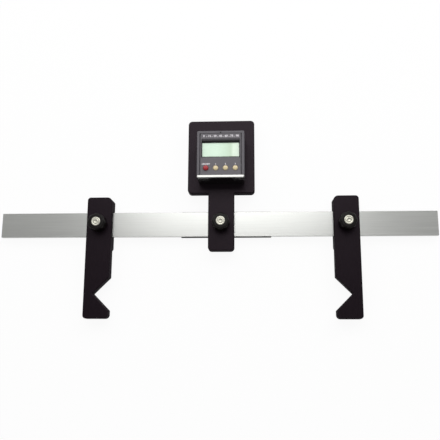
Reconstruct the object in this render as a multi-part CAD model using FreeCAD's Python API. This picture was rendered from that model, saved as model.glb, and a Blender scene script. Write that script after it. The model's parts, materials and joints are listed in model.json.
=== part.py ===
import FreeCAD, Part
import math
import os

# Caster and camber gauge: two notched arms and a protractor head that slide on one flat bar.
# The gauge lies on its back. X runs along the bar, Y points up the head, Z points out of the face.
# The origin is on the bar's centreline, halfway along it, in the plane that the keepers rest on.
# All sizes are in millimetres.

Vector = FreeCAD.Vector

# Bar: aluminium flat stock
BAR_LENGTH = 558.8
BAR_WIDTH = 31.75
BAR_THICKNESS = 4.76
BAR_CORNER = 0.8

# Plates that ride on the bar, each clamped to a keeper behind it
PLATE_THICKNESS = 12.7
KEEPER_THICKNESS = 6.35
SLIDE_CLEARANCE = 0.06
PLATE_EDGE_CHAMFER = 0.8
KEEPER_OVERHANG = 17.0
KEEPER_CORNER = 3.0

# Arms
LEFT_ARM_X = -150.0
RIGHT_ARM_X = 164.6
ARM_WIDTH = 32.0
ARM_TOP_ABOVE_BAR = 19.1
NOTCH_DROP = 73.1
NOTCH_DEPTH = 20.6
NOTCH_ANGLE = 90.0
NOTCH_ROOT_RADIUS = 0.5
NOTCH_MOUTH_RADIUS = 1.2
FOOT_LENGTH = 30.8
ARM_OUTER_CORNER = 4.0
ARM_INNER_TOP_CORNER = 6.5
ARM_LIP_CORNER = 5.0

# Head plate: a square field for the protractor on a neck that crosses the bar
HEAD_X = 6.5
HEAD_WIDTH = 86.0
HEAD_HEIGHT = 97.6
NECK_WIDTH = 33.0
NECK_LENGTH = 23.1
NECK_BELOW_BAR = 19.2
HEAD_CORNER = 5.0
NECK_CORNER = 4.5
NECK_ROOT_RADIUS = 1.0
HEAD_KEEPER_RISE = 25.0

# Channel behind the bar that keeps the head square
CHANNEL_LENGTH = 115.0
CHANNEL_OFFSET = 6.0
CHANNEL_SHEET = 0.8
CHANNEL_LIP_SETBACK = 3.2
CHANNEL_SEAT_GAP = 0.05
CHANNEL_END_RADIUS = 1.6

# Clamp in each plate: threaded insert and pressure pad in one bore, stud and knob in front
CLAMP_BORE_DIAMETER = 12.4
CLAMP_SHOULDER = 1.0
INSERT_GAP = 0.05
STUD_DIAMETER = 6.0
RUNNING_GAP = 0.05
TURN_LIFT = 1.0
PAD_GAP = 0.2
PAD_THICKNESS = 1.5
PAD_REST_GAP = 0.03
PAD_LIFT_SLACK = 0.3
KNOB_DIAMETER = 22.0
KNOB_HEIGHT = 15.0
KNOB_STANDOFF = 1.2
FLUTE_COUNT = 8
FLUTE_RADIUS = 2.6
FLUTE_DEPTH = 1.0
HUB_DIAMETER = 11.4
HUB_STANDOFF = 0.4
HUB_PROUD = 0.7

# Protractor: case, machined base, rear cover and face panel
PROTRACTOR_WIDTH = 59.0
PROTRACTOR_HEIGHT = 61.0
PROTRACTOR_DEPTH = 31.0
PROTRACTOR_ABOVE_FIELD = 11.9
PROTRACTOR_OFFSET = 0.7
CASE_RIM = 3.2
CASE_GROOVE = 1.2
CASE_LEDGE = 1.0
CASE_CORNER = 1.2
CASE_EDGE_CHAMFER = 0.5
BASE_THICKNESS = 3.6
BASE_CORNER = 2.0
FLOOR_WALL = 1.0
PANEL_THICKNESS = 2.5
PANEL_SETBACK = 0.5
PANEL_END_GAP = 0.15
COVER_THICKNESS = 3.0
COVER_GAP = 0.1
COVER_LEDGE = 1.8
PILLAR_WIDTH = 10.0
PILLAR_HEIGHT = 6.0
PILLAR_ROOT = 0.5

# Display
WINDOW_FROM_SIDE = 5.5
WINDOW_ABOVE_EDGE = 25.4
WINDOW_BELOW_RIM = 7.0
WINDOW_BEVEL = 1.8
DISPLAY_RECESS = 3.5
VIEW_FROM_SIDE = 0.85
VIEW_LIFT = 1.0
VIEW_DROP = 2.5
GLASS_THICKNESS = 2.2
GLASS_MARGIN = 0.5

# Circuit board and what it carries
BOARD_THICKNESS = 1.6
BOARD_EDGE_GAP = 0.6
SWITCH_SIZE = 6.0
SWITCH_HEIGHT = 1.4
PLUNGER_SIZE = 2.6
PLUNGER_HEIGHT = 0.6
SENSOR_LENGTH = 15.0
SENSOR_WIDTH = 12.0
SENSOR_HEIGHT = 3.5

# Two cells in a tray on the rear cover
CELL_DIAMETER = 10.5
CELL_PITCH = 12.0
TRAY_WALL = 1.0
TRAY_GAP = 0.15
TRAY_END_GAP = 0.6
CONTACT_THICKNESS = 0.4

# Buttons
BUTTON_COUNT = 4
BUTTON_DIAMETER = 6.6
BUTTON_FROM_SIDE = 11.2
BUTTON_ABOVE_EDGE = 12.6
BUTTON_PROUD = 2.0
POWER_BUTTON_PROUD = 3.2
BUTTON_CROWN = 0.6
BUTTON_GAP = 0.1
BUTTON_FLANGE_SIZE = 7.6
BUTTON_FLANGE_THICKNESS = 1.0
BUTTON_TRAVEL = 0.8
BUTTON_STOP_GAP = 0.05

# How far a cutting form runs past the face that it opens
CUT_MARGIN = 1.0

# Levels that follow from the sizes above
PLATE_BACK = KEEPER_THICKNESS
PLATE_FRONT = PLATE_BACK + PLATE_THICKNESS
BAR_BACK = PLATE_BACK + SLIDE_CLEARANCE
BAR_FRONT = BAR_BACK + BAR_THICKNESS
SLOT_FLOOR = BAR_FRONT + SLIDE_CLEARANCE
PAD_BACK = BAR_FRONT + PAD_REST_GAP
PAD_FRONT = PAD_BACK + PAD_THICKNESS
INSERT_BACK = PAD_FRONT + TURN_LIFT + PAD_LIFT_SLACK
INSERT_FRONT = PLATE_FRONT - CLAMP_SHOULDER
KNOB_BACK = PLATE_FRONT + KNOB_STANDOFF
KNOB_FRONT = KNOB_BACK + KNOB_HEIGHT
BAR_EDGE = BAR_WIDTH / 2
KEEPER_HALF_HEIGHT = BAR_EDGE + KEEPER_OVERHANG
NOTCH_Y = -BAR_EDGE - NOTCH_DROP
FOOT_Y = NOTCH_Y - FOOT_LENGTH
FIELD_BOTTOM = BAR_EDGE + NECK_LENGTH
FIELD_TOP = FIELD_BOTTOM + HEAD_HEIGHT
CHANNEL_HALF_WIDTH = BAR_EDGE + SLIDE_CLEARANCE + CHANNEL_SHEET
CASE_BOTTOM = FIELD_BOTTOM + PROTRACTOR_ABOVE_FIELD
CASE_TOP = CASE_BOTTOM + PROTRACTOR_HEIGHT
CASE_X = HEAD_X + PROTRACTOR_OFFSET
CASE_MIDDLE = (CASE_BOTTOM + CASE_TOP) / 2
CASE_FRONT = PLATE_FRONT + PROTRACTOR_DEPTH
CASE_WALL = CASE_RIM + CASE_GROOVE + CASE_LEDGE
PANEL_FRONT = CASE_FRONT - PANEL_SETBACK
PANEL_BACK = PANEL_FRONT - PANEL_THICKNESS
PANEL_TOP = CASE_TOP - CASE_RIM - PANEL_END_GAP
PANEL_BOTTOM = CASE_BOTTOM + BASE_THICKNESS + PANEL_END_GAP
COVER_FRONT = PLATE_FRONT + COVER_THICKNESS
CAVITY_BOTTOM = CASE_BOTTOM + BASE_THICKNESS + FLOOR_WALL
CAVITY_TOP = CASE_TOP - CASE_WALL
CAVITY_WIDTH = PROTRACTOR_WIDTH - 2 * CASE_WALL
PILLAR_YS = [CAVITY_BOTTOM + PILLAR_HEIGHT / 2, CAVITY_TOP - PILLAR_HEIGHT / 2]
WINDOW_TOP = CASE_TOP - CASE_RIM - WINDOW_BELOW_RIM
WINDOW_BOTTOM = CASE_BOTTOM + WINDOW_ABOVE_EDGE
WINDOW_WIDTH = PROTRACTOR_WIDTH - 2 * WINDOW_FROM_SIDE
VIEW_WIDTH = WINDOW_WIDTH - 2 * VIEW_FROM_SIDE
VIEW_BOTTOM = WINDOW_BOTTOM + WINDOW_BEVEL + VIEW_LIFT
VIEW_TOP = WINDOW_TOP - WINDOW_BEVEL - VIEW_DROP
GLASS_FRONT = PANEL_FRONT - DISPLAY_RECESS
GLASS_BACK = GLASS_FRONT - GLASS_THICKNESS
SWITCH_TOP = PANEL_BACK - BUTTON_STOP_GAP - BUTTON_FLANGE_THICKNESS - BUTTON_TRAVEL - BUTTON_STOP_GAP
BOARD_FRONT = SWITCH_TOP - PLUNGER_HEIGHT - SWITCH_HEIGHT
BOARD_BACK = BOARD_FRONT - BOARD_THICKNESS
BUTTON_Y = CASE_BOTTOM + BUTTON_ABOVE_EDGE
BUTTON_PITCH = (PROTRACTOR_WIDTH - 2 * BUTTON_FROM_SIDE) / (BUTTON_COUNT - 1)
FIRST_BUTTON_X = CASE_X - PROTRACTOR_WIDTH / 2 + BUTTON_FROM_SIDE
BUTTON_XS = [FIRST_BUTTON_X + BUTTON_PITCH * index for index in range(BUTTON_COUNT)]
TRAY_HALF_LENGTH = CAVITY_WIDTH / 2 - TRAY_END_GAP
TRAY_HALF_HEIGHT = CELL_PITCH / 2 + CELL_DIAMETER / 2 + TRAY_GAP + TRAY_WALL
CELL_LENGTH = 2 * (TRAY_HALF_LENGTH - TRAY_WALL - CONTACT_THICKNESS)
CELL_AXIS = COVER_FRONT + TRAY_WALL + TRAY_GAP + CELL_DIAMETER / 2


def box(x0, y0, z0, x1, y1, z1):
    """A block between two corners."""
    return Part.makeBox(x1 - x0, y1 - y0, z1 - z0, Vector(x0, y0, z0))


def cylinder(x, y, z0, z1, diameter):
    """A round bar along Z."""
    return Part.makeCylinder(diameter / 2, z1 - z0, Vector(x, y, z0))


def revolved(profile, x, y, z):
    """Turn a half profile of (radius, height) points about a Z axis through x, y."""
    points = [Vector(x + radius, y, z + height) for radius, height in profile]
    wire = Part.makePolygon(points + [points[0]])
    return Part.Face(wire).revolve(Vector(x, y, z), Vector(0, 0, 1), 360)


def rounded_outline(corners, level):
    """A closed wire through (x, y, radius) corners, each rounded by an arc."""
    count = len(corners)
    starts = []
    ends = []
    middles = []
    for index in range(count):
        before = Vector(corners[index - 1][0], corners[index - 1][1], level)
        here = Vector(corners[index][0], corners[index][1], level)
        after = Vector(corners[(index + 1) % count][0], corners[(index + 1) % count][1], level)
        radius = corners[index][2]
        to_before = (before - here).normalize()
        to_after = (after - here).normalize()
        half_angle = to_before.getAngle(to_after) / 2
        reach = radius / math.tan(half_angle)
        bisector = (to_before + to_after).normalize()
        centre = here + bisector * (radius / math.sin(half_angle))
        starts.append(here + to_before * reach)
        ends.append(here + to_after * reach)
        middles.append(centre - bisector * radius)
    edges = []
    for index in range(count):
        if corners[index][2] > 0:
            edges.append(Part.Arc(starts[index], middles[index], ends[index]).toShape())
        edges.append(Part.makeLine(ends[index], starts[(index + 1) % count]))
    return Part.Wire(edges)


def slab(corners, z0, z1):
    """A flat plate with a rounded outline."""
    return Part.Face(rounded_outline(corners, z0)).extrude(Vector(0, 0, z1 - z0))


def rectangle(x, y0, y1, width, radius):
    """Corners of a rounded rectangle centred on x."""
    left = x - width / 2
    right = x + width / 2
    return [(left, y0, radius), (right, y0, radius), (right, y1, radius), (left, y1, radius)]


def chamfer_face_edges(solid, level, size):
    """Break the outer edges of the flat face at one Z level."""
    edges = []
    for edge in solid.Edges:
        if abs(edge.BoundBox.ZMin - level) < 0.001 and abs(edge.BoundBox.ZMax - level) < 0.001:
            edges.append(edge)
    return solid.makeChamfer(size, edges)


def make_bar():
    """The flat bar that everything slides on."""
    corners = rectangle(0, -BAR_EDGE, BAR_EDGE, BAR_LENGTH, BAR_CORNER)
    return slab(corners, BAR_BACK, BAR_FRONT)


def cut_clamp_bore(plate, x):
    """Bore for the pad and insert from the back, with a shoulder that takes the insert's push."""
    bore = cylinder(x, 0, SLOT_FLOOR - CUT_MARGIN, INSERT_FRONT, CLAMP_BORE_DIAMETER)
    mouth = cylinder(x, 0, INSERT_FRONT, PLATE_FRONT + CUT_MARGIN, STUD_DIAMETER + 2 * RUNNING_GAP)
    return plate.cut(bore.fuse(mouth))


def cut_bar_slot(plate, width):
    """Mill the slot across the back of a plate that the bar runs in."""
    reach = BAR_LENGTH
    return plate.cut(box(-reach, -width / 2, PLATE_BACK - CUT_MARGIN, reach, width / 2, SLOT_FLOOR))


def arm_corners(x, outward):
    """Outline of an arm, with the mouth of its notch on the side away from outward."""
    inner = x - outward * ARM_WIDTH / 2
    outer = x + outward * ARM_WIDTH / 2
    top = BAR_EDGE + ARM_TOP_ABOVE_BAR
    half_mouth = NOTCH_DEPTH * math.tan(math.radians(NOTCH_ANGLE / 2))
    root = inner + outward * NOTCH_DEPTH
    return [
        (inner, top, ARM_INNER_TOP_CORNER),
        (outer, top, ARM_OUTER_CORNER),
        (outer, FOOT_Y, ARM_OUTER_CORNER),
        (inner, FOOT_Y, ARM_LIP_CORNER),
        (inner, NOTCH_Y - half_mouth, NOTCH_MOUTH_RADIUS),
        (root, NOTCH_Y, NOTCH_ROOT_RADIUS),
        (inner, NOTCH_Y + half_mouth, NOTCH_MOUTH_RADIUS),
    ]


def make_arm(x, outward):
    """A notched arm with its bar slot and clamp bore."""
    arm = slab(arm_corners(x, outward), PLATE_BACK, PLATE_FRONT)
    arm = chamfer_face_edges(arm, PLATE_FRONT, PLATE_EDGE_CHAMFER)
    arm = cut_bar_slot(arm, BAR_WIDTH + 2 * SLIDE_CLEARANCE)
    return cut_clamp_bore(arm, x)


def make_arm_keeper(x):
    """The plate behind the bar that an arm is screwed to."""
    corners = rectangle(x, -KEEPER_HALF_HEIGHT, KEEPER_HALF_HEIGHT, ARM_WIDTH, KEEPER_CORNER)
    return slab(corners, 0, KEEPER_THICKNESS)


def make_insert(x):
    """Threaded insert that the stud turns in, pressed up against the shoulder of the bore."""
    body = cylinder(x, 0, INSERT_BACK, INSERT_FRONT, CLAMP_BORE_DIAMETER - 2 * INSERT_GAP)
    thread = cylinder(x, 0, INSERT_BACK, INSERT_FRONT, STUD_DIAMETER + 2 * RUNNING_GAP)
    return body.cut(thread)


def make_pad(x):
    """Pressure pad between the stud and the bar."""
    return cylinder(x, 0, PAD_BACK, PAD_FRONT, CLAMP_BORE_DIAMETER - 2 * PAD_GAP)


def make_stud(x):
    """Threaded stud with a turned hub that is moulded into the knob and shows in its top."""
    tip = PAD_FRONT + RUNNING_GAP
    hub_back = PLATE_FRONT + HUB_STANDOFF
    hub_front = KNOB_FRONT + HUB_PROUD
    hub = HUB_DIAMETER / 2
    profile = [
        (0, tip),
        (STUD_DIAMETER / 2, tip),
        (STUD_DIAMETER / 2, hub_back),
        (hub, hub_back),
        (hub, hub_front),
        (0, hub_front),
    ]
    return revolved(profile, x, 0, 0)


def make_knob(x):
    """Fluted knob, moulded round the hub of the stud."""
    knob = cylinder(x, 0, KNOB_BACK, KNOB_FRONT, KNOB_DIAMETER)
    ring = KNOB_DIAMETER / 2 + FLUTE_RADIUS - FLUTE_DEPTH
    cuts = [cylinder(x, 0, KNOB_BACK, KNOB_FRONT, HUB_DIAMETER)]
    for index in range(FLUTE_COUNT):
        angle = 2 * math.pi * (index + 0.5) / FLUTE_COUNT
        flute_x = x + ring * math.cos(angle)
        cuts.append(cylinder(flute_x, ring * math.sin(angle), KNOB_BACK, KNOB_FRONT, 2 * FLUTE_RADIUS))
    return knob.cut(cuts)


def head_corners():
    """Outline of the head plate, a square field on a narrower neck."""
    neck_left = HEAD_X - NECK_WIDTH / 2
    neck_right = HEAD_X + NECK_WIDTH / 2
    left = HEAD_X - HEAD_WIDTH / 2
    right = HEAD_X + HEAD_WIDTH / 2
    foot = -BAR_EDGE - NECK_BELOW_BAR
    return [
        (neck_left, foot, NECK_CORNER),
        (neck_right, foot, NECK_CORNER),
        (neck_right, FIELD_BOTTOM, NECK_ROOT_RADIUS),
        (right, FIELD_BOTTOM, HEAD_CORNER),
        (right, FIELD_TOP, HEAD_CORNER),
        (left, FIELD_TOP, HEAD_CORNER),
        (left, FIELD_BOTTOM, HEAD_CORNER),
        (neck_left, FIELD_BOTTOM, NECK_ROOT_RADIUS),
    ]


def make_head_plate():
    """The T-shaped plate that carries the protractor across the bar."""
    plate = slab(head_corners(), PLATE_BACK, PLATE_FRONT)
    plate = chamfer_face_edges(plate, PLATE_FRONT, PLATE_EDGE_CHAMFER)
    plate = cut_bar_slot(plate, 2 * (CHANNEL_HALF_WIDTH + CHANNEL_SEAT_GAP))
    return cut_clamp_bore(plate, HEAD_X)


def make_head_keeper():
    """The keeper behind the neck, recessed for the channel and reaching up behind the field."""
    top = KEEPER_HALF_HEIGHT + HEAD_KEEPER_RISE
    corners = rectangle(HEAD_X, -KEEPER_HALF_HEIGHT, top, NECK_WIDTH, KEEPER_CORNER)
    keeper = slab(corners, 0, KEEPER_THICKNESS)
    half = CHANNEL_HALF_WIDTH + CHANNEL_SEAT_GAP
    reach = CHANNEL_LENGTH
    front = PLATE_BACK + CUT_MARGIN
    return keeper.cut(box(HEAD_X - reach, -half, PLATE_BACK - CHANNEL_SHEET, HEAD_X + reach, half, front))


def make_channel():
    """Shallow channel that hugs the back and both edges of the bar."""
    x = HEAD_X + CHANNEL_OFFSET
    back = PLATE_BACK - CHANNEL_SHEET
    front = BAR_FRONT - CHANNEL_LIP_SETBACK
    left = x - CHANNEL_LENGTH / 2
    right = x + CHANNEL_LENGTH / 2
    round_end = CHANNEL_END_RADIUS
    corners = [(left, back, 0), (right, back, 0), (right, front, round_end), (left, front, round_end)]
    flat = rounded_outline(corners, 0)
    flat.rotate(Vector(0, 0, 0), Vector(1, 0, 0), 90)
    block = Part.Face(flat).extrude(Vector(0, 2 * CHANNEL_HALF_WIDTH, 0))
    block.translate(Vector(0, -CHANNEL_HALF_WIDTH, 0))
    inside = BAR_EDGE + SLIDE_CLEARANCE
    return block.cut(box(left, -inside, PLATE_BACK, right, inside, front))


def make_case():
    """The case, a deep frame with a pocket for the panel in front and for the cover behind."""
    bottom = CASE_BOTTOM + BASE_THICKNESS
    left = CASE_X - PROTRACTOR_WIDTH / 2
    right = CASE_X + PROTRACTOR_WIDTH / 2
    corners = [
        (left, bottom, 0),
        (right, bottom, 0),
        (right, CASE_TOP, CASE_CORNER),
        (left, CASE_TOP, CASE_CORNER),
    ]
    case = chamfer_face_edges(slab(corners, PLATE_FRONT, CASE_FRONT), CASE_FRONT, CASE_EDGE_CHAMFER)
    back = PLATE_FRONT - CUT_MARGIN
    front = CASE_FRONT + CUT_MARGIN
    under = bottom - CUT_MARGIN
    half = CAVITY_WIDTH / 2
    case = case.cut(box(CASE_X - half, CAVITY_BOTTOM, back, CASE_X + half, CAVITY_TOP, front))
    half = PROTRACTOR_WIDTH / 2 - CASE_RIM
    case = case.cut(box(CASE_X - half, under, PANEL_BACK, CASE_X + half, CASE_TOP - CASE_RIM, front))
    for y in PILLAR_YS:
        case = case.fuse(make_pillar(y))
    half = CAVITY_WIDTH / 2 + COVER_LEDGE + COVER_GAP
    top = CAVITY_TOP + COVER_LEDGE + COVER_GAP
    return case.cut(box(CASE_X - half, under, back, CASE_X + half, top, COVER_FRONT)).removeSplitter()


def make_pillar(y):
    """Pillar on the inside of the case that a screw can bite in and the board lies on."""
    half = PILLAR_HEIGHT / 2
    low = y - half - PILLAR_ROOT if y < CASE_MIDDLE else y - half
    high = y + half if y < CASE_MIDDLE else y + half + PILLAR_ROOT
    return box(CASE_X - PILLAR_WIDTH / 2, low, COVER_FRONT, CASE_X + PILLAR_WIDTH / 2, high, BOARD_BACK)


def make_base():
    """Machined base along the lower side of the case, the face that the readings refer to."""
    x0 = CASE_X - PROTRACTOR_WIDTH / 2
    x1 = CASE_X + PROTRACTOR_WIDTH / 2
    top = CASE_BOTTOM + BASE_THICKNESS
    corners = [(x0, CASE_BOTTOM, BASE_CORNER), (x1, CASE_BOTTOM, BASE_CORNER), (x1, top, 0), (x0, top, 0)]
    return slab(corners, PLATE_FRONT, CASE_FRONT)


def make_rear_cover():
    """Cover in the back of the case, held between the case and the head plate."""
    half = CAVITY_WIDTH / 2 + COVER_LEDGE
    low = CASE_BOTTOM + BASE_THICKNESS + COVER_GAP
    high = CAVITY_TOP + COVER_LEDGE
    return box(CASE_X - half, low, PLATE_FRONT, CASE_X + half, high, COVER_FRONT)


def bevelled_window():
    """The window's cutting form, straight at the sides and bevelled at the top and bottom."""
    left = CASE_X - WINDOW_WIDTH / 2
    corners = [
        Vector(left, WINDOW_BOTTOM, PANEL_FRONT),
        Vector(left, WINDOW_TOP, PANEL_FRONT),
        Vector(left, WINDOW_TOP - WINDOW_BEVEL, PANEL_FRONT - WINDOW_BEVEL),
        Vector(left, WINDOW_TOP - WINDOW_BEVEL, PANEL_BACK - CUT_MARGIN),
        Vector(left, WINDOW_BOTTOM + WINDOW_BEVEL, PANEL_BACK - CUT_MARGIN),
        Vector(left, WINDOW_BOTTOM + WINDOW_BEVEL, PANEL_FRONT - WINDOW_BEVEL),
    ]
    outline = Part.makePolygon(corners + [corners[0]])
    return Part.Face(outline).extrude(Vector(WINDOW_WIDTH, 0, 0))


def make_face_panel():
    """Face panel with the display window and the button holes."""
    half = CAVITY_WIDTH / 2 + CASE_LEDGE
    panel = box(CASE_X - half, PANEL_BOTTOM, PANEL_BACK, CASE_X + half, PANEL_TOP, PANEL_FRONT)
    panel = panel.cut(bevelled_window())
    for x in BUTTON_XS:
        panel = panel.cut(cylinder(x, BUTTON_Y, PANEL_BACK, PANEL_FRONT, BUTTON_DIAMETER + 2 * BUTTON_GAP))
    return panel


def make_bezel():
    """Dark frame between the back of the panel and the display glass."""
    half = WINDOW_WIDTH / 2
    bezel = box(CASE_X - half, WINDOW_BOTTOM, GLASS_FRONT, CASE_X + half, WINDOW_TOP, PANEL_BACK)
    left = CASE_X - VIEW_WIDTH / 2
    right = CASE_X + VIEW_WIDTH / 2
    return bezel.cut(box(left, VIEW_BOTTOM, GLASS_FRONT, right, VIEW_TOP, PANEL_BACK))


def make_display_glass():
    """Liquid crystal cell under the bezel."""
    half = VIEW_WIDTH / 2 + GLASS_MARGIN
    low = VIEW_BOTTOM - GLASS_MARGIN
    high = VIEW_TOP + GLASS_MARGIN
    return box(CASE_X - half, low, GLASS_BACK, CASE_X + half, high, GLASS_FRONT)


def make_display_holder():
    """Pale tray that lifts the display off the board."""
    half = VIEW_WIDTH / 2 + GLASS_MARGIN
    low = VIEW_BOTTOM - GLASS_MARGIN
    high = VIEW_TOP + GLASS_MARGIN
    return box(CASE_X - half, low, BOARD_FRONT, CASE_X + half, high, GLASS_BACK)


def make_board():
    """Circuit board that lies on the corner bosses."""
    half = CAVITY_WIDTH / 2 - BOARD_EDGE_GAP
    low = CAVITY_BOTTOM + BOARD_EDGE_GAP
    high = CAVITY_TOP - BOARD_EDGE_GAP
    return box(CASE_X - half, low, BOARD_BACK, CASE_X + half, high, BOARD_FRONT)


def make_switches():
    """Four key switches on the board, one under each button."""
    switches = []
    half = SWITCH_SIZE / 2
    body_top = BOARD_FRONT + SWITCH_HEIGHT
    for x in BUTTON_XS:
        body = box(x - half, BUTTON_Y - half, BOARD_FRONT, x + half, BUTTON_Y + half, body_top)
        reach = PLUNGER_SIZE / 2
        plunger = box(x - reach, BUTTON_Y - reach, body_top, x + reach, BUTTON_Y + reach, SWITCH_TOP)
        switches.append(body.fuse(plunger))
    return Part.makeCompound(switches)


def make_tilt_sensor():
    """Tilt sensor on the back of the board."""
    half = SENSOR_LENGTH / 2
    low = CASE_MIDDLE - SENSOR_WIDTH / 2
    high = CASE_MIDDLE + SENSOR_WIDTH / 2
    return box(CASE_X - half, low, BOARD_BACK - SENSOR_HEIGHT, CASE_X + half, high, BOARD_BACK)


def make_cells():
    """Two dry cells side by side."""
    cells = []
    for y in (CASE_MIDDLE - CELL_PITCH / 2, CASE_MIDDLE + CELL_PITCH / 2):
        start = Vector(CASE_X - CELL_LENGTH / 2, y, CELL_AXIS)
        cells.append(Part.makeCylinder(CELL_DIAMETER / 2, CELL_LENGTH, start, Vector(1, 0, 0)))
    return Part.makeCompound(cells)


def make_cell_tray():
    """Open tray that holds the cells by half their depth."""
    half = TRAY_HALF_LENGTH
    low = CASE_MIDDLE - TRAY_HALF_HEIGHT
    high = CASE_MIDDLE + TRAY_HALF_HEIGHT
    tray = box(CASE_X - half, low, COVER_FRONT, CASE_X + half, high, CELL_AXIS)
    inner = half - TRAY_WALL
    floor = COVER_FRONT + TRAY_WALL
    return tray.cut(box(CASE_X - inner, low + TRAY_WALL, floor, CASE_X + inner, high - TRAY_WALL, CELL_AXIS))


def make_contacts():
    """Contact plates at both ends of the tray."""
    outer = TRAY_HALF_LENGTH - TRAY_WALL
    inner = outer - CONTACT_THICKNESS
    reach = TRAY_HALF_HEIGHT - TRAY_WALL
    low = CASE_MIDDLE - reach
    high = CASE_MIDDLE + reach
    floor = COVER_FRONT + TRAY_WALL
    left = box(CASE_X - outer, low, floor, CASE_X - inner, high, CELL_AXIS)
    right = box(CASE_X + inner, low, floor, CASE_X + outer, high, CELL_AXIS)
    return Part.makeCompound([left, right])


def make_button(x, proud):
    """Push button with a bevelled crown and a square flange that holds it behind the panel."""
    front = PANEL_FRONT + proud
    flange_front = PANEL_BACK - BUTTON_STOP_GAP
    radius = BUTTON_DIAMETER / 2
    profile = [
        (0, flange_front),
        (radius, flange_front),
        (radius, front - BUTTON_CROWN),
        (radius - BUTTON_CROWN, front),
        (0, front),
    ]
    half = BUTTON_FLANGE_SIZE / 2
    back = flange_front - BUTTON_FLANGE_THICKNESS
    flange = box(x - half, BUTTON_Y - half, back, x + half, BUTTON_Y + half, flange_front)
    return revolved(profile, x, BUTTON_Y, 0).fuse(flange)


def clamp_nodes(name, x):
    """Insert, pad, stud and knob of one clamp."""
    return {
        name + "_insert": make_insert(x),
        name + "_pad": make_pad(x),
        name + "_stud": make_stud(x),
        name + "_knob": make_knob(x),
    }


def arm_nodes(name, x, outward):
    """Everything that slides with one arm."""
    nodes = {
        name + "_arm": make_arm(x, outward),
        name + "_keeper": make_arm_keeper(x),
    }
    nodes.update(clamp_nodes(name, x))
    return nodes


def head_nodes():
    """The head plate and what guides and clamps it."""
    nodes = {
        "head_plate": make_head_plate(),
        "head_keeper": make_head_keeper(),
        "squaring_channel": make_channel(),
    }
    nodes.update(clamp_nodes("head", HEAD_X))
    return nodes


def protractor_nodes():
    """The protractor, outside and inside."""
    return {
        "protractor_case": make_case(),
        "protractor_base": make_base(),
        "rear_cover": make_rear_cover(),
        "face_panel": make_face_panel(),
        "display_bezel": make_bezel(),
        "display_glass": make_display_glass(),
        "display_holder": make_display_holder(),
        "circuit_board": make_board(),
        "key_switches": make_switches(),
        "tilt_sensor": make_tilt_sensor(),
        "cell_tray": make_cell_tray(),
        "cell_contacts": make_contacts(),
        "cells": make_cells(),
        "power_button": make_button(BUTTON_XS[0], POWER_BUTTON_PROUD),
        "zero_button": make_button(BUTTON_XS[1], BUTTON_PROUD),
        "hold_button": make_button(BUTTON_XS[2], BUTTON_PROUD),
        "range_button": make_button(BUTTON_XS[3], BUTTON_PROUD),
    }


def main():
    """Write one STEP file for each piece."""
    os.makedirs("parts", exist_ok=True)
    nodes = {"bar": make_bar()}
    nodes.update(arm_nodes("left", LEFT_ARM_X, -1))
    nodes.update(arm_nodes("right", RIGHT_ARM_X, 1))
    nodes.update(head_nodes())
    nodes.update(protractor_nodes())
    for name, shape in nodes.items():
        shape.exportStep("parts/" + name + ".step")
        print(name, shape.isValid(), len(shape.Solids), round(shape.Volume, 1))


main()
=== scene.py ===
import json
import math

import bmesh
import bpy
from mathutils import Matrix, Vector


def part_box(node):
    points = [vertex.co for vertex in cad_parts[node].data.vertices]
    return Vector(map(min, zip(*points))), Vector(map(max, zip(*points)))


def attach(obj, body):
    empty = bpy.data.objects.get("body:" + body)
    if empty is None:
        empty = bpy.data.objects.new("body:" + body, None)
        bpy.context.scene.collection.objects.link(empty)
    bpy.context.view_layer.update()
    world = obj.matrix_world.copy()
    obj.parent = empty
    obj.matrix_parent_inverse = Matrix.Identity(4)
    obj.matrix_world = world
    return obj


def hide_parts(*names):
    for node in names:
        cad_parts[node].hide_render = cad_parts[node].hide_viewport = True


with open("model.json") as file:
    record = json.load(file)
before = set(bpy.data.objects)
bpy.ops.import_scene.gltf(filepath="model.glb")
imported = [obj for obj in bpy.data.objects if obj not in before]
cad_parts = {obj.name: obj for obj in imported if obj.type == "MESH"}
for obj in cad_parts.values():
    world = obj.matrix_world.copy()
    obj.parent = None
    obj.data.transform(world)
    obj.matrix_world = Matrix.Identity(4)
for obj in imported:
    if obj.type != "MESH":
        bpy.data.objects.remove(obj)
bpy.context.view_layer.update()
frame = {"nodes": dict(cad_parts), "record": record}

# Camber caster gauge on a white table, seen from above and slightly from its foot.
# Named sizes are in millimetres and turned to metres by MM, unless their comment says metres.
# Boxes that come from the frame are in metres.
MM = 0.001

# Boxes of the nodes that other pieces are placed by, each its lowest and highest corner,
# and the level of the keepers' backs, on which the gauge lies
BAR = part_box("bar")
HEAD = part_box("head_plate")
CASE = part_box("protractor_case")
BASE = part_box("protractor_base")
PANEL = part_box("face_panel")
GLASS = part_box("display_glass")
KEEPER_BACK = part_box("left_keeper")[0].z

SIDES = ("left", "right", "head")
KEYS = ("power", "zero", "hold", "range")
SLOT_OF = {part["node"]: part["material_slot"] for part in frame["record"]["subparts"]}
BODY_OF = {node: body for body, nodes in frame["record"]["behaviour"]["bodies"].items() for node in nodes}


def middle(node):
    """The middle of a node's box."""
    low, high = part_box(node)
    return (low + high) / 2


# Materials. A noise pattern's values lie mostly between the low and the high one.
PATTERN_LOW = 0.3
PATTERN_HIGH = 0.7
PATTERN_DETAIL = 3.0

# Black acetal reflects slightly warm and purple, and its sawn sides are much rougher than its milled faces.
BLACK_SHEEN = (1.0, 0.84, 0.96, 1.0)
SAWN_ROUGHNESS = 0.9

# Tones of the empty display, from its left side to its right, each at a share of its width
CELL_LEFT = "#d6efd9"
CELL_RIGHT = "#e4f5e2"
CELL_TONES = ((0.4, "#d9f2dc"), (0.62, "#cfe8d0"), (0.76, "#c6ddc3"), (0.84, "#e2f4df"))


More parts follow.
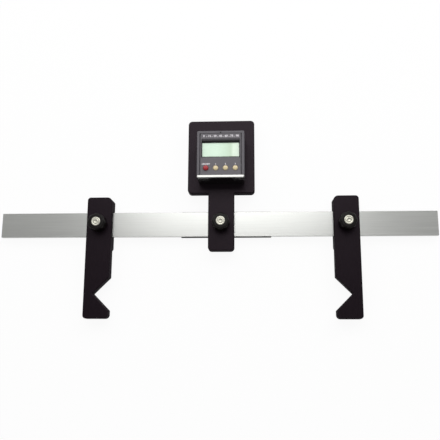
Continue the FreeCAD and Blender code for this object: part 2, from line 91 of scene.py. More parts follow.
def linear(hex_colour):
    """An sRGB hex colour as the linear colour that shaders take."""
    channels = []
    for index in (1, 3, 5):
        value = int(hex_colour[index:index + 2], 16) / 255
        channels.append(value / 12.92 if value <= 0.04045 else ((value + 0.055) / 1.055) ** 2.4)
    return (*channels, 1.0)


def add(material, kind, inputs=None, **settings):
    """Add one shader node with its settings; an input is a value or another node's output."""
    tree = material.node_tree
    made = tree.nodes.new(kind)
    for name, value in settings.items():
        setattr(made, name, value)
    for name, value in (inputs or {}).items():
        if isinstance(value, bpy.types.NodeSocket):
            tree.links.new(value, made.inputs[name])
        else:
            made.inputs[name].default_value = value
    return made


def start(name, **sockets):
    """A new material with its shader, and the shader's own values."""
    material = bpy.data.materials.new(name)
    material.use_nodes = True
    shader = material.node_tree.nodes["Principled BSDF"]
    for socket, value in sockets.items():
        shader.inputs[socket.replace("_", " ")].default_value = value
    return material, shader


def grain(material, width, length=1.0, along=0):
    """Noise whose grains are width millimetres wide, and length times longer along one axis."""
    place = add(material, "ShaderNodeTexCoord")
    scale = [1 / (width * MM)] * 3
    scale[along] = scale[along] / length
    spread = add(material, "ShaderNodeMapping", {"Vector": place.outputs["Object"], "Scale": scale})
    inputs = {"Vector": spread.outputs["Vector"], "Scale": 1.0, "Detail": PATTERN_DETAIL}
    return add(material, "ShaderNodeTexNoise", inputs).outputs["Fac"]


def tint(material, shader, pattern, low, high):
    """Colour the shader between two hex colours by a pattern."""
    ramp = add(material, "ShaderNodeValToRGB", {"Fac": pattern})
    ramp.color_ramp.elements[0].position = PATTERN_LOW
    ramp.color_ramp.elements[0].color = linear(low)
    ramp.color_ramp.elements[1].position = PATTERN_HIGH
    ramp.color_ramp.elements[1].color = linear(high)
    material.node_tree.links.new(ramp.outputs["Color"], shader.inputs["Base Color"])


def rough(material, shader, pattern, low, high, sides=None):
    """Roughness between two values by a pattern, and one of its own on a plate's sides."""
    inputs = {"Value": pattern, "From Min": PATTERN_LOW, "From Max": PATTERN_HIGH}
    spread = add(material, "ShaderNodeMapRange", {**inputs, "To Min": low, "To Max": high})
    if sides is not None:
        place = add(material, "ShaderNodeTexCoord")
        facing = add(material, "ShaderNodeSeparateXYZ", {"Vector": place.outputs["Normal"]})
        flat = add(material, "ShaderNodeMath", {0: facing.outputs["Z"]}, operation="ABSOLUTE")
        inputs = {"Value": flat.outputs[0], "To Min": sides, "To Max": spread.outputs["Result"]}
        spread = add(material, "ShaderNodeMapRange", inputs)
    material.node_tree.links.new(spread.outputs["Result"], shader.inputs["Roughness"])


def relief(material, shader, pattern, depth, strength=1.0):
    """Bump of a real depth in millimetres by a pattern."""
    bump = add(material, "ShaderNodeBump", {"Height": pattern, "Distance": depth * MM, "Strength": strength})
    material.node_tree.links.new(bump.outputs["Normal"], shader.inputs["Normal"])


def brushed_aluminium_bar():
    """Aluminium, brushed along the bar: long faint streaks, and a highlight that spreads wide and soft."""
    material, shader = start("brushed_aluminium", Metallic=1.0)
    # Real scratches are 0.1 mm wide; they are drawn 1 mm wide so that they show.
    streaks = grain(material, width=1.0, length=60.0)
    tint(material, shader, streaks, "#bbbcb9", "#c2c3c0")
    rough(material, shader, streaks, 0.28, 0.32)
    relief(material, shader, streaks, depth=0.01, strength=0.15)
    return material


def machined_aluminium_base():
    """Aluminium, face-milled: bright, with fine cutter lines across it."""
    material, shader = start("machined_aluminium", Metallic=1.0)
    # Cutter lines are 0.2 mm apart; they are drawn 0.6 mm apart.
    lines = grain(material, width=0.6, length=25.0)
    tint(material, shader, lines, "#949491", "#9e9e9b")
    rough(material, shader, lines, 0.17, 0.22)
    relief(material, shader, lines, depth=0.008, strength=0.4)
    return material


def mill_aluminium_cover():
    """Aluminium sheet with its mill finish: dull, with faint rolling streaks."""
    material, shader = start("mill_finish_aluminium", Metallic=1.0)
    # Rolling streaks are 0.5 mm wide; they are drawn 1.5 mm wide.
    streaks = grain(material, width=1.5, length=20.0, along=1)
    tint(material, shader, streaks, "#a9aaab", "#b7b8b8")
    rough(material, shader, streaks, 0.45, 0.55)
    return material


def machined_acetal():
    """Black acetal, milled and sawn: a soft sheen on a warm black, faint cutter marks, and dull sides."""
    sheen = {"IOR": 1.48, "Specular_IOR_Level": 0.155, "Specular_Tint": BLACK_SHEEN}
    material, shader = start("machined_black_acetal", **sheen)
    # Cutter marks are 0.3 mm apart; they are drawn 0.8 mm apart.
    marks = grain(material, width=0.8, length=12.0, along=1)
    tint(material, shader, marks, "#0f080d", "#140c12")
    rough(material, shader, marks, 0.34, 0.42, sides=SAWN_ROUGHNESS)
    relief(material, shader, marks, depth=0.006, strength=0.5)
    return material


def moulded_black_plastic():
    """Black phenolic, moulded: smooth and slightly glossy, with a fine orange peel."""
    material, shader = start("moulded_black_phenolic", IOR=1.55, Specular_IOR_Level=0.13)
    peel = grain(material, width=0.7)
    tint(material, shader, peel, "#0c0908", "#110e0c")
    rough(material, shader, peel, 0.32, 0.42)
    relief(material, shader, peel, depth=0.01, strength=0.3)
    return material


def powder_coated_channel():
    """Steel with a black powder coat: an even, slightly pebbled satin."""
    material, shader = start("powder_coated_steel", Roughness=0.55, IOR=1.5)
    pebbles = grain(material, width=0.5)
    tint(material, shader, pebbles, "#100e10", "#161416")
    relief(material, shader, pebbles, depth=0.02, strength=0.5)
    return material


def plated_steel_stud():
    """Steel, turned and nickel plated: a warm white metal with a fine uneven sheen."""
    material, shader = start("nickel_plated_steel", Metallic=1.0)
    feed = grain(material, width=0.25)
    tint(material, shader, feed, "#b4b3a6", "#c1bfb3")
    rough(material, shader, feed, 0.3, 0.4)
    return material


def oxide_steel_screw():
    """Steel with a black oxide: nearly black, with an oily sheen."""
    material, shader = start("black_oxide_steel", Metallic=1.0)
    patches = grain(material, width=0.9)
    tint(material, shader, patches, "#2a2a2c", "#353538")
    rough(material, shader, patches, 0.34, 0.46)
    return material


def painted_case():
    """Aluminium with a satin grey paint: even, with a faint orange peel."""
    material, shader = start("satin_grey_paint", IOR=1.5, Specular_IOR_Level=0.3)
    peel = grain(material, width=0.6)
    tint(material, shader, peel, "#58555a", "#5f5c61")
    rough(material, shader, peel, 0.38, 0.46)
    relief(material, shader, peel, depth=0.008, strength=0.4)
    return material


def moulded_panel():
    """Grey ABS, moulded with a spark-eroded texture: matte, with a fine even speckle."""
    material, shader = start("moulded_grey_abs", IOR=1.53, Specular_IOR_Level=0.35)
    speckle = grain(material, width=0.4)
    tint(material, shader, speckle, "#605d61", "#68656a")
    rough(material, shader, speckle, 0.5, 0.62)
    relief(material, shader, speckle, depth=0.012, strength=0.6)
    return material


def moulded_bezel():
    """Black ABS, moulded: deep black with a low sheen."""
    material, shader = start("moulded_black_abs", Roughness=0.5, IOR=1.53, Specular_IOR_Level=0.1)
    speckle = grain(material, width=0.4)
    tint(material, shader, speckle, "#0d0c0e", "#131214")
    relief(material, shader, speckle, depth=0.008, strength=0.5)
    return material


def display_cell():
    """Liquid crystal cell with no reading: pale green, with a duller band towards one side."""
    material, shader = start("liquid_crystal_cell", Roughness=0.3, IOR=1.5)
    place = add(material, "ShaderNodeTexCoord")
    across = add(material, "ShaderNodeSeparateXYZ", {"Vector": place.outputs["Object"]})
    spread = {"Value": across.outputs["X"], "From Min": GLASS[0].x, "From Max": GLASS[1].x}
    along = add(material, "ShaderNodeMapRange", spread)
    ramp = add(material, "ShaderNodeValToRGB", {"Fac": along.outputs["Result"]})
    ramp.color_ramp.elements[0].color = linear(CELL_LEFT)
    ramp.color_ramp.elements[1].color = linear(CELL_RIGHT)
    for position, shade in CELL_TONES:
        ramp.color_ramp.elements.new(position).color = linear(shade)
    material.node_tree.links.new(ramp.outputs["Color"], shader.inputs["Base Color"])
    return material


def glossy_button(name, low, high):
    """ABS key, moulded: glossy, with faint flow marks in its colour."""
    material, shader = start(name, Roughness=0.28, IOR=1.53)
    flow = grain(material, width=0.8)
    tint(material, shader, flow, low, high)
    relief(material, shader, flow, depth=0.006, strength=0.3)
    return material


def turned_brass():
    """Brass, turned: a yellow metal with a fine uneven sheen."""
    material, shader = start("turned_brass", Metallic=1.0)
    feed = grain(material, width=0.3)
    tint(material, shader, feed, "#b8923e", "#c9a24b")
    rough(material, shader, feed, 0.25, 0.35)
    return material


def natural_nylon():
    """Nylon, moulded and undyed: a milky, waxy white."""
    material, shader = start("natural_nylon", Roughness=0.45, IOR=1.53)
    tint(material, shader, grain(material, width=1.2), "#ddd9cb", "#e6e2d6")
    return material


def white_holder():
    """White ABS, moulded: clean and even."""
    material, shader = start("moulded_white_abs", Roughness=0.4, IOR=1.53)
    tint(material, shader, grain(material, width=1.0), "#e2e2e0", "#eaeae8")
    return material


def board_laminate():
    """Glass-epoxy laminate with a green solder mask: the weave shows faintly through it."""
    material, shader = start("green_laminate", Roughness=0.35, IOR=1.55)
    weave = grain(material, width=0.5, length=3.0)
    tint(material, shader, weave, "#1d5230", "#246038")
    relief(material, shader, weave, depth=0.01, strength=0.4)
    return material


def moulded_tray():
    """Black nylon, moulded: dull, with a fine grain."""
    material, shader = start("moulded_black_nylon", Roughness=0.6, IOR=1.53)
    tint(material, shader, grain(material, width=0.4), "#1b1b1d", "#232325")
    return material


def plated_contact():
    """Spring steel strip, nickel plated: bright, with rolling lines."""
    material, shader = start("nickel_plated_strip", Metallic=1.0, Roughness=0.2)
    tint(material, shader, grain(material, width=0.3, length=15.0, along=1), "#c8c8c4", "#d6d6d2")
    return material


def sensor_package():
    """Epoxy chip package: dark grey and finely matte."""
    material, shader = start("epoxy_package", Roughness=0.6, IOR=1.55)
    tint(material, shader, grain(material, width=0.3), "#26262a", "#2e2e32")
    return material


def cell_jacket():
    """Shrink-sleeved steel cell: glossy film over a smooth can."""
    material, shader = start("shrink_sleeve", Roughness=0.25, IOR=1.5)
    tint(material, shader, grain(material, width=2.0), "#3c4652", "#46515e")
    return material


def printed_ink():
    """Screen-printed pale ink: flat, with a slightly uneven tone."""
    material, shader = start("pale_screen_ink", Roughness=0.6, IOR=1.5)
    tint(material, shader, grain(material, width=0.3), "#e6e2e6", "#f2eef2")
    return material


FINISH = {
    "bar_aluminium": brushed_aluminium_bar(),
    "black_acetal": machined_acetal(),
    "insert_brass": turned_brass(),
    "pad_nylon": natural_nylon(),
    "stud_steel": plated_steel_stud(),
    "knob_plastic": moulded_black_plastic(),
    "channel_steel": powder_coated_channel(),
    "case_paint": painted_case(),
    "base_aluminium": machined_aluminium_base(),
    "cover_aluminium": mill_aluminium_cover(),
    "panel_plastic": moulded_panel(),
    "bezel_plastic": moulded_bezel(),
    "display_cell": display_cell(),
    "holder_plastic": white_holder(),
    "board_laminate": board_laminate(),
    "switch_plastic": sensor_package(),
    "sensor_can": sensor_package(),
    "tray_plastic": moulded_tray(),
    "contact_steel": plated_contact(),
    "cell_jacket": cell_jacket(),
    "red_button": glossy_button("red_abs", "#9c222a", "#a92b32"),
    "cream_button": glossy_button("cream_abs", "#decca0", "#e6d6ae"),
    "screw": oxide_steel_screw(),
    "ink": printed_ink(),
}

# Meshes. Copies of the frame's nodes are welded and made flat before their edges are rounded.
WELD = 0.004
FLAT_DEGREES = 1.0
SHARP_DEGREES = 28
EDGE_SEGMENTS = 3
FLAT_SHADING_WEIGHT = 80
ROUND_STEPS = 72


def mesh_from(name, work):
    """A new mesh from a finished bmesh."""
    mesh = bpy.data.meshes.new(name)
    work.to_mesh(mesh)
    work.free()
    return mesh


def join(name, mesh, body, finish):
    """Put a new mesh in the scene, riding on a body, with a finish."""
    piece = bpy.data.objects.new(name, mesh)
    bpy.context.scene.collection.objects.link(piece)
    mesh.materials.clear()
    mesh.materials.append(FINISH[finish])
    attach(piece, body)
    return piece


def by_angle(piece, degrees):
    """Smooth shading with sharp edges above an angle."""
    piece.data.shade_smooth()
    piece.data.set_sharp_from_angle(angle=math.radians(degrees))


def soften(piece, width):
    """Round a piece's edges by a width in millimetres, with flat faces that still shade flat."""
    piece.data.shade_smooth()
    edges = piece.modifiers.new("edges", "BEVEL")
    edges.width = width * MM
    edges.segments = EDGE_SEGMENTS
    edges.limit_method = "ANGLE"
    edges.angle_limit = math.radians(SHARP_DEGREES)
    edges.use_clamp_overlap = True
    shading = piece.modifiers.new("shading", "WEIGHTED_NORMAL")
    shading.keep_sharp = False
    shading.weight = FLAT_SHADING_WEIGHT


def clean_copy(node):
    """A copy of a node's mesh with its facets joined into flat faces."""
    mesh = frame["nodes"][node].data.copy()
    work = bmesh.new()
    work.from_mesh(mesh)
    bmesh.ops.remove_doubles(work, verts=work.verts, dist=WELD * MM)
    limit = math.radians(FLAT_DEGREES)
    bmesh.ops.dissolve_limit(work, angle_limit=limit, use_dissolve_boundaries=False,
                             verts=work.verts, edges=work.edges)
    work.to_mesh(mesh)
    work.free()
    return mesh


def ring_of(centre, level, radius):
    """One ring at a level; radius is a length or a function of the angle, in metres."""
    points = []
    for index in range(ROUND_STEPS):
        angle = 2 * math.pi * index / ROUND_STEPS
        reach = radius(angle) if callable(radius) else radius
        points.append((centre.x + reach * math.cos(angle), centre.y + reach * math.sin(angle), level))
    return points


def skin(name, rings, close=True):
    """A mesh through rings of points, each ring with the same number of points."""
    work = bmesh.new()
    loops = [[work.verts.new(point) for point in ring] for ring in rings]
    count = len(loops[0])
    for lower, upper in zip(loops, loops[1:]):
        for index in range(count):
            following = (index + 1) % count
            work.faces.new((lower[index], lower[following], upper[following], upper[index]))
    if close:
        work.faces.new(list(reversed(loops[0])))
        work.faces.new(loops[-1])
    bmesh.ops.recalc_face_normals(work, faces=work.faces)
    return mesh_from(name, work)


def flat_faces(name, outlines):
    """A mesh of separate flat faces, each given by its corners."""
    work = bmesh.new()
    for corners in outlines:
        work.faces.new([work.verts.new(corner) for corner in corners])
    return mesh_from(name, work)


def drill(piece, x, y, low, high, diameter):
    """Cut one round hole in a piece, between two levels."""
    centre = Vector((x, y, 0))
    rings = [ring_of(centre, low, diameter / 2), ring_of(centre, high, diameter / 2)]
    cutter = bpy.data.objects.new("cutter", skin("cutter", rings))
    bpy.context.scene.collection.objects.link(cutter)
    cut = piece.modifiers.new("cut", "BOOLEAN")
    cut.object = cutter
    cut.solver = "EXACT"
    bpy.context.view_layer.update()
    drilled = piece.evaluated_get(bpy.context.evaluated_depsgraph_get())
    mesh = bpy.data.meshes.new_from_object(drilled)
    piece.modifiers.remove(cut)
    piece.data = mesh
    bpy.data.objects.remove(cutter)


def soft_node(node, width, holes=()):
    """A copy of a node with rounded edges and holes for its screws, which stands for it."""
    piece = join(node + ".soft", clean_copy(node), BODY_OF[node], SLOT_OF[node])
    for hole in holes:
        drill(piece, *hole)
    soften(piece, width)
    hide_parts(node)
    return piece


# Knobs
FLUTES = 8
FLUTE_DEPTH = 1.0
FLUTE_SHARPNESS = 1.4
FLUTE_FADE = 0.75
KNOB_CROWN = 2.2
KNOB_CROWN_STEPS = 7
KNOB_FOOT_ROUND = 0.6
KNOB_SHARP_DEGREES = 50


def make_knob(side):
    """Fluted knob with a round crown; the flutes run out in the crown."""
    node = side + "_knob"
    low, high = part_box(node)
    centre = (low + high) / 2
    radius = (high.x - low.x) / 2
    bore = (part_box(side + "_stud")[1].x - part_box(side + "_stud")[0].x) / 2

    def fluted(rim, depth):
        def reach(angle):
            wave = 0.5 - 0.5 * math.cos(FLUTES * angle)
            return rim - depth * wave ** FLUTE_SHARPNESS
        return reach

    foot_round = KNOB_FOOT_ROUND * MM
    rings = [
        ring_of(centre, low.z, bore),
        ring_of(centre, low.z, fluted(radius - foot_round, FLUTE_DEPTH * MM)),
        ring_of(centre, low.z + foot_round, fluted(radius, FLUTE_DEPTH * MM)),
    ]
    for step in range(KNOB_CROWN_STEPS + 1):
        turn = math.pi / 2 * step / KNOB_CROWN_STEPS
        inset = KNOB_CROWN * MM * (1 - math.cos(turn))
        level = high.z - KNOB_CROWN * MM * (1 - math.sin(turn))
        depth = FLUTE_DEPTH * MM * (1 - FLUTE_FADE * step / KNOB_CROWN_STEPS)
        rings.append(ring_of(centre, level, fluted(radius - inset, depth)))
    rings.append(ring_of(centre, high.z, bore))
    rings.append(ring_of(centre, low.z, bore))
    piece = join(node + ".fluted", skin(node, rings, close=False), side + "_clamp_knob", "knob_plastic")
    by_angle(piece, KNOB_SHARP_DEGREES)
    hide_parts(node)


# Studs, each a threaded shank with a turned hub
STUD_DIAMETER = 6.0
STUD_POINT_SHARE = 0.7
THREAD_PITCH = 1.0
THREAD_DEPTH = 0.3
THREAD_STEPS = 8
HUB_BELOW_KNOB = 0.8
HUB_CHAMFER = 0.3
STUD_SHARP_DEGREES = 35
# The hub's face from its rim inwards, as drops below its top and insets from its rim: a rounded rim,
# a turned groove between two flats, and a shallow dimple
HUB_FACE = (
    (0.5, 0.0), (0.2, 0.12), (0.0, 0.5), (0.0, 1.6), (0.12, 1.8), (0.12, 2.4), (0.0, 2.6), (0.0, 3.2),
    (0.1, 3.3), (0.45, 4.3), (0.55, 5.4),
)


def make_stud(side):
    """Stud with a helical thread below its hub, and a turned groove and dimple in the hub's face."""
    node = side + "_stud"
    low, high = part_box(node)
    centre = (low + high) / 2
    hub = (high.x - low.x) / 2
    hub_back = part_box(side + "_knob")[0].z - HUB_BELOW_KNOB * MM
    shank = STUD_DIAMETER / 2 * MM
    pitch = THREAD_PITCH * MM

    def threaded(level):
        def reach(angle):
            phase = (level / pitch - angle / (2 * math.pi)) % 1.0
            return shank - THREAD_DEPTH * MM * abs(2 * phase - 1)
        return reach

    rings = [ring_of(centre, low.z, shank * STUD_POINT_SHARE)]
    steps = THREAD_STEPS * round((hub_back - low.z) / pitch)
    for step in range(steps + 1):
        level = low.z + (hub_back - low.z) * step / steps
        rings.append(ring_of(centre, level, threaded(level)))
    rings.append(ring_of(centre, hub_back, hub - HUB_CHAMFER * MM))
    rings.append(ring_of(centre, hub_back + HUB_CHAMFER * MM, hub))
    for drop, inset in HUB_FACE:
        rings.append(ring_of(centre, high.z - drop * MM, hub - inset * MM))
    piece = join(node + ".turned", skin(node, rings), side + "_clamp_knob", "stud_steel")
    by_angle(piece, STUD_SHARP_DEGREES)
    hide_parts(node)


# Cap screws, in the backs of the keepers and of the head plate
SCREW_DIAMETER = 4.0
SCREW_HEAD = 7.0
SCREW_HEAD_HEIGHT = 4.0
SCREW_CHAMFER = 0.4
SCREW_SINK = 0.3
SCREW_HOLE = 7.4
SCREW_HOLE_MARGIN = 1.0
SCREW_SHARP_DEGREES = 30
SOCKET_ACROSS_FLATS = 3.0
SOCKET_DEPTH = 2.0
KEEPER_SCREW_LENGTH = 9.0
KEEPER_SCREW_FROM_BAR = 7.1
MOUNT_SCREW_LENGTH = 16.0
PILLAR_FROM_BASE = 7.6
PILLAR_FROM_TOP = 8.4


def hexagonal(angle):
    """How far a hexagon socket's wall is from its axis, at an angle."""
    turned = angle % (math.pi / 3) - math.pi / 6
    return SOCKET_ACROSS_FLATS / 2 * MM / math.cos(turned)


def make_cap_screw(name, body, x, y, back, length):
    """Hexagon socket cap screw, its head sunk below a back face."""
    centre = Vector((x, y, 0))
    face = back + SCREW_SINK * MM
    neck = face + SCREW_HEAD_HEIGHT * MM
    head = SCREW_HEAD / 2 * MM
    shank = SCREW_DIAMETER / 2 * MM
    chamfer = SCREW_CHAMFER * MM
    rings = [
        ring_of(centre, face + SOCKET_DEPTH * MM, hexagonal),
        ring_of(centre, face, hexagonal),
        ring_of(centre, face, head - chamfer),
        ring_of(centre, face + chamfer, head),
        ring_of(centre, neck, head),
        ring_of(centre, neck, shank),
        ring_of(centre, neck + length * MM, shank),
    ]
    by_angle(join(name, skin(name, rings), body, "screw"), SCREW_SHARP_DEGREES)


def counterbore(x, y, back):
    """The hole that a cap screw's head sits in."""
    low = back - SCREW_HOLE_MARGIN * MM
    high = back + (SCREW_SINK + SCREW_HEAD_HEIGHT) * MM
    return (x, y, low, high, SCREW_HOLE * MM)


def keeper_screw_places(side):
    """One screw below the bar and one above it, on a keeper's middle."""
    x = middle("head_knob" if side == "head" else side + "_arm").x
    reach = BAR[1].y + KEEPER_SCREW_FROM_BAR * MM
    return [(x, -reach), (x, reach)]


def mount_screw_places():
    """The two screws that hold the protractor, in the pillars on the case's middle."""
    x = middle("protractor_case").x
    return [(x, BASE[0].y + PILLAR_FROM_BASE * MM), (x, CASE[1].y - PILLAR_FROM_TOP * MM)]


# Edge rounds of the pieces whose shapes are otherwise the frame's own
BAR_EDGE = 0.25
CHANNEL_EDGE = 0.2
KEEPER_EDGE = 0.6
PLATE_EDGE = 0.35
CASE_EDGE = 0.3
BASE_EDGE = 0.2
COVER_EDGE = 0.2
PANEL_EDGE = 0.12
DISPLAY_EDGE = 0.1

# The base's front rim, its edges at the front level, has a round of its own. An edge within
# BASE_SEAM of the base's top is its seam with the case, and keeps the small round.
BASE_FRONT_EDGE = 1.0
BASE_FRONT_SEGMENTS = 5
BASE_SEAM = 0.5
LEVEL_TOLERANCE = 0.001


def make_keeper(side):
    """A keeper with its two cap screws."""
    places = keeper_screw_places(side)
    soft_node(side + "_keeper", KEEPER_EDGE, [counterbore(x, y, KEEPER_BACK) for x, y in places])
    for index, (x, y) in enumerate(places, start=1):
        name = f"{side}_keeper_screw_{index}"
        make_cap_screw(name, side + "_carriage", x, y, KEEPER_BACK, KEEPER_SCREW_LENGTH)


def make_head_plate():
    """The head plate with the two cap screws that hold the protractor."""
    back = HEAD[0].z
    places = mount_screw_places()
    soft_node("head_plate", PLATE_EDGE, [counterbore(x, y, back) for x, y in places])
    for index, (x, y) in enumerate(places, start=1):
        make_cap_screw(f"mount_screw_{index}", "head_carriage", x, y, back, MOUNT_SCREW_LENGTH)


def make_protractor_base():
    """The machined base, whose front rim is rounded wider than its other edges."""
    piece = soft_node("protractor_base", BASE_EDGE)
    work = bmesh.new()
    work.from_mesh(piece.data)
    front = max(point.co.z for point in work.verts)
    seam = max(point.co.y for point in work.verts) - BASE_SEAM * MM
    rim = [edge for edge in work.edges
           if all(abs(point.co.z - front) < LEVEL_TOLERANCE * MM for point in edge.verts)
           and any(point.co.y < seam for point in edge.verts)]
    bmesh.ops.bevel(work, geom=rim, offset=BASE_FRONT_EDGE * MM, offset_type="OFFSET",
                    segments=BASE_FRONT_SEGMENTS, profile=0.5, affect="EDGES")
    work.to_mesh(piece.data)
    work.free()


# Buttons
BUTTON_DIAMETER = 6.6
BUTTON_ROUND = 2.2
BUTTON_ROUND_STEPS = 6
BUTTON_DOME = 0.3
BUTTON_DOME_SHARES = (0.75, 0.5, 0.25, 0.05)
BUTTON_SHARP_DEGREES = 40
FLANGE_THICKNESS = 1.0
FLANGE_ROUND = 0.3


def make_button(key):
    """Moulded key with a round shoulder, a slight dome and a square flange under the panel."""
    node = key + "_button"
    low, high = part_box(node)
    centre = (low + high) / 2
    half = (high.x - low.x) / 2
    stem = BUTTON_DIAMETER / 2 * MM
    flange_top = low.z + FLANGE_THICKNESS * MM

    def square(inset):
        def reach(angle):
            return (half - inset) / max(abs(math.cos(angle)), abs(math.sin(angle)))
        return reach

    rings = [
        ring_of(centre, low.z, square(FLANGE_ROUND * MM)),
        ring_of(centre, low.z + FLANGE_ROUND * MM, square(0)),
        ring_of(centre, flange_top, square(0)),
        ring_of(centre, flange_top, stem),
    ]
    shoulder = high.z - (BUTTON_ROUND + BUTTON_DOME) * MM
    for step in range(BUTTON_ROUND_STEPS + 1):
        turn = math.pi / 2 * step / BUTTON_ROUND_STEPS
        level = shoulder + BUTTON_ROUND * MM * math.sin(turn)
        rings.append(ring_of(centre, level, stem - BUTTON_ROUND * MM * (1 - math.cos(turn))))
    flat = stem - BUTTON_ROUND * MM
    for share in BUTTON_DOME_SHARES:
        rings.append(ring_of(centre, high.z - BUTTON_DOME * MM * share ** 2, flat * share))
    piece = join(node + ".moulded", skin(node, rings), key + "_key", SLOT_OF[node])
    by_angle(piece, BUTTON_SHARP_DEGREES)
    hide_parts(node)


# Printed marks, all generic: a row of degrees, button labels and a middle mark; and a black sheet of painted
# shade on the slope above the display
INK_LIFT = 0.015
SCALE_SPAN = 42.0
SCALE_FROM_TOP = 4.55
SCALE_NUMBERS = (0, 15, 30, 45, 60, 75, 90)
NUMBER_SIZE = 3.8
TICK_SHARES = (0.43, 0.57)
TICK_WIDTH = 0.3
TICK_HEIGHT = 1.0
LABELS = {"power": "ON/OFF", "zero": "1", "hold": "2", "range": "3"}
LABEL_SIZE = 2.8
LABEL_ABOVE_BUTTON = 4.3
LETTER_WEIGHT = 0.07
# Painted shade: a black sheet on the slope above the display stands in for the shadow there
SHADE_BELOW_PANEL_TOP = 6.88
SHADE_SLOPE = 1.8
INDEX_WIDTH = 1.6
INDEX_HEIGHT = 1.4
INDEX_FROM_TOP = 1.5


def printed_bars(name, bars, level, finish):
    """Flat printed bars, each given by its left, foot, right and top."""
    outlines = [[(left, foot, level), (right, foot, level), (right, top, level), (left, top, level)]
                for left, foot, right, top in bars]
    join(name, flat_faces(name, outlines), "head_carriage", finish)


def printed_label(name, words, x, y, size):
    """A short printed label, centred above a point of the panel."""
    text = bpy.data.curves.new(name, "FONT")
    text.body = words
    text.size = size * MM
    text.offset = LETTER_WEIGHT * MM
    text.align_x = "CENTER"
    text.materials.append(FINISH["ink"])
    piece = bpy.data.objects.new(name, text)
    bpy.context.scene.collection.objects.link(piece)
    piece.location = (x, y, PANEL[1].z + INK_LIFT * MM)
    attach(piece, "head_carriage")


def mask_above_display():
    """Black sheet on the slope above the display: painted shade, where that slope lies in shadow, not print.
    """
    top = PANEL[1].y - SHADE_BELOW_PANEL_TOP * MM
    foot = top - SHADE_SLOPE * MM
    left, right = GLASS[0].x, GLASS[1].x
    back, front = PANEL[0].z, PANEL[1].z
    slope = [(left, foot, back), (right, foot, back), (right, top, front), (left, top, front)]
    join("display_painted_shade", flat_faces("display_painted_shade", [slope]), "head_carriage", "bezel_plastic")


def print_scale():
    """A plain row of degrees above the display: numbers with short ticks between them."""
    foot = PANEL[1].y - SCALE_FROM_TOP * MM
    first = middle("face_panel").x - SCALE_SPAN / 2 * MM
    step = SCALE_SPAN / (len(SCALE_NUMBERS) - 1) * MM
    half = TICK_WIDTH / 2 * MM
    ticks = []
    for index, number in enumerate(SCALE_NUMBERS):
        x = first + index * step
        printed_label(f"scale_number_{number}", str(number), x, foot, NUMBER_SIZE)
        if number != SCALE_NUMBERS[-1]:
            for share in TICK_SHARES:
                tick = x + step * share
                ticks.append((tick - half, foot, tick + half, foot + TICK_HEIGHT * MM))
    printed_bars("scale_ticks", ticks, PANEL[1].z + INK_LIFT * MM, "ink")


def print_button_labels():
    """A plain label above each button."""
    for key, words in LABELS.items():
        place = middle(key + "_button")
        printed_label(key + "_label", words, place.x, place.y + LABEL_ABOVE_BUTTON * MM, LABEL_SIZE)


def print_index():
    """A small dark mark on the middle of the case's upper rim."""
    x = middle("protractor_case").x
    half = INDEX_WIDTH / 2 * MM
    top = CASE[1].y - INDEX_FROM_TOP * MM
    mark = (x - half, top - INDEX_HEIGHT * MM, x + half, top)
    printed_bars("index_mark", [mark], CASE[1].z + INK_LIFT * MM, "bezel_plastic")


# Table and room. The table's side is in metres, and the room's two values are its light's strength.
TABLE_SIZE = 6.0
TABLE_BELOW_KEEPERS = 0.1
TABLE_GLOW = 0.93
ROOM_FRONT = 0.27
ROOM_BACK = 0.6
WHITE = "#ffffff"

# Softboxes: their places, widths and heights in metres, and their watts
SOFTBOXES = {
    "overhead_softbox": ((-0.012, 0.5, 0.95), 0.64, 0.62, 4.0),
    "back_left_softbox": ((-0.8, 0.95, 0.9), 0.8, 0.6, 3.0),
    "back_right_softbox": ((0.8, 0.95, 0.9), 0.8, 0.6, 5.0),
}

# Camera, its place in metres, as fitted to the edges that the photograph shows
CAMERA_PLACE = (0.0469, -0.1556, 0.7831)
CAMERA_DEGREES = (11.79, 3.07, 0.25)
CAMERA_LENS = 50.44
CAMERA_SENSOR = 36.0


def table():
    """White table that the camera sees as white paper and that keeps the gauge's shadow."""
    material, shader = start("white_table", Roughness=0.8)
    tint(material, shader, grain(material, width=3.0), "#f9f9f9", "#fdfdfd")
    path = add(material, "ShaderNodeLightPath")
    rays = {0: path.outputs["Is Camera Ray"], 1: path.outputs["Is Glossy Ray"]}
    seen = add(material, "ShaderNodeMath", rays, operation="MAXIMUM")
    rays = {0: seen.outputs[0], 1: path.outputs["Is Transmission Ray"]}
    seen = add(material, "ShaderNodeMath", rays, operation="MAXIMUM")
    share = add(material, "ShaderNodeMath", {0: seen.outputs[0], 1: TABLE_GLOW}, operation="MULTIPLY")
    glow = add(material, "ShaderNodeEmission", {"Color": linear(WHITE), "Strength": 1.0})
    layers = {"Fac": share.outputs[0], 1: shader.outputs[0], 2: glow.outputs[0]}
    blend = add(material, "ShaderNodeMixShader", layers)
    surface = material.node_tree.nodes["Material Output"].inputs["Surface"]
    material.node_tree.links.new(blend.outputs[0], surface)
    half = TABLE_SIZE / 2
    level = KEEPER_BACK - TABLE_BELOW_KEEPERS * MM
    corners = [(-half, -half, level), (half, -half, level), (half, half, level), (-half, half, level)]
    mesh = flat_faces("table", [corners])
    mesh.materials.append(material)
    floor = bpy.data.objects.new("table", mesh)
    bpy.context.scene.collection.objects.link(floor)


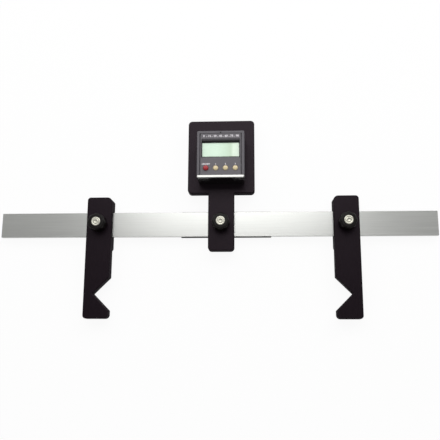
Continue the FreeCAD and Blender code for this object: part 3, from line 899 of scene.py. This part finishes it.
def studio():
    """A pale room, darker towards the gauge's foot, and white where the camera sees it."""
    world = bpy.data.worlds.new("studio")
    bpy.context.scene.world = world
    world.use_nodes = True
    room = world.node_tree.nodes["Background"]
    room.inputs["Color"].default_value = linear(WHITE)
    place = add(world, "ShaderNodeTexCoord")
    across = add(world, "ShaderNodeSeparateXYZ", {"Vector": place.outputs["Generated"]})
    depth = {"Value": across.outputs["Y"], "From Min": -1.0, "To Min": ROOM_FRONT, "To Max": ROOM_BACK}
    level = add(world, "ShaderNodeMapRange", depth)
    path = add(world, "ShaderNodeLightPath")
    seen = {"Value": path.outputs["Is Camera Ray"], "To Min": level.outputs["Result"]}
    strength = add(world, "ShaderNodeMapRange", seen)
    world.node_tree.links.new(strength.outputs["Result"], room.inputs["Strength"])


def softbox(name, place, width, height, watts):
    """A rectangular studio light at a place, turned towards the origin, behind the bar's middle."""
    light = bpy.data.lights.new(name, "AREA")
    light.shape = "RECTANGLE"
    light.size = width
    light.size_y = height
    light.energy = watts
    lamp = bpy.data.objects.new(name, light)
    bpy.context.scene.collection.objects.link(lamp)
    lamp.location = place
    lamp.rotation_euler = (-Vector(place)).to_track_quat("-Z", "Y").to_euler()


def camera():
    """The camera at the photograph's viewing angle."""
    lens = bpy.data.cameras.new("camera")
    lens.sensor_width = CAMERA_SENSOR
    lens.lens = CAMERA_LENS
    eye = bpy.data.objects.new("camera", lens)
    bpy.context.scene.collection.objects.link(eye)
    eye.location = CAMERA_PLACE
    eye.rotation_euler = [math.radians(degrees) for degrees in CAMERA_DEGREES]
    bpy.context.scene.camera = eye


for side in SIDES:
    make_knob(side)
    make_stud(side)
soft_node("bar", BAR_EDGE)
soft_node("squaring_channel", CHANNEL_EDGE)
for side in SIDES:
    make_keeper(side)
soft_node("left_arm", PLATE_EDGE)
soft_node("right_arm", PLATE_EDGE)
make_head_plate()
soft_node("protractor_case", CASE_EDGE)
make_protractor_base()
soft_node("rear_cover", COVER_EDGE)
soft_node("face_panel", PANEL_EDGE)
soft_node("display_bezel", DISPLAY_EDGE)
soft_node("display_glass", DISPLAY_EDGE)
for key in KEYS:
    make_button(key)
mask_above_display()
print_scale()
print_button_labels()
print_index()

for node, piece in frame["nodes"].items():
    for slot in piece.material_slots:
        slot.material = FINISH[SLOT_OF[node]]

table()
studio()
for name, (place, width, height, watts) in SOFTBOXES.items():
    softbox(name, place, width, height, watts)
camera()
bpy.context.scene.view_settings.view_transform = "Standard"
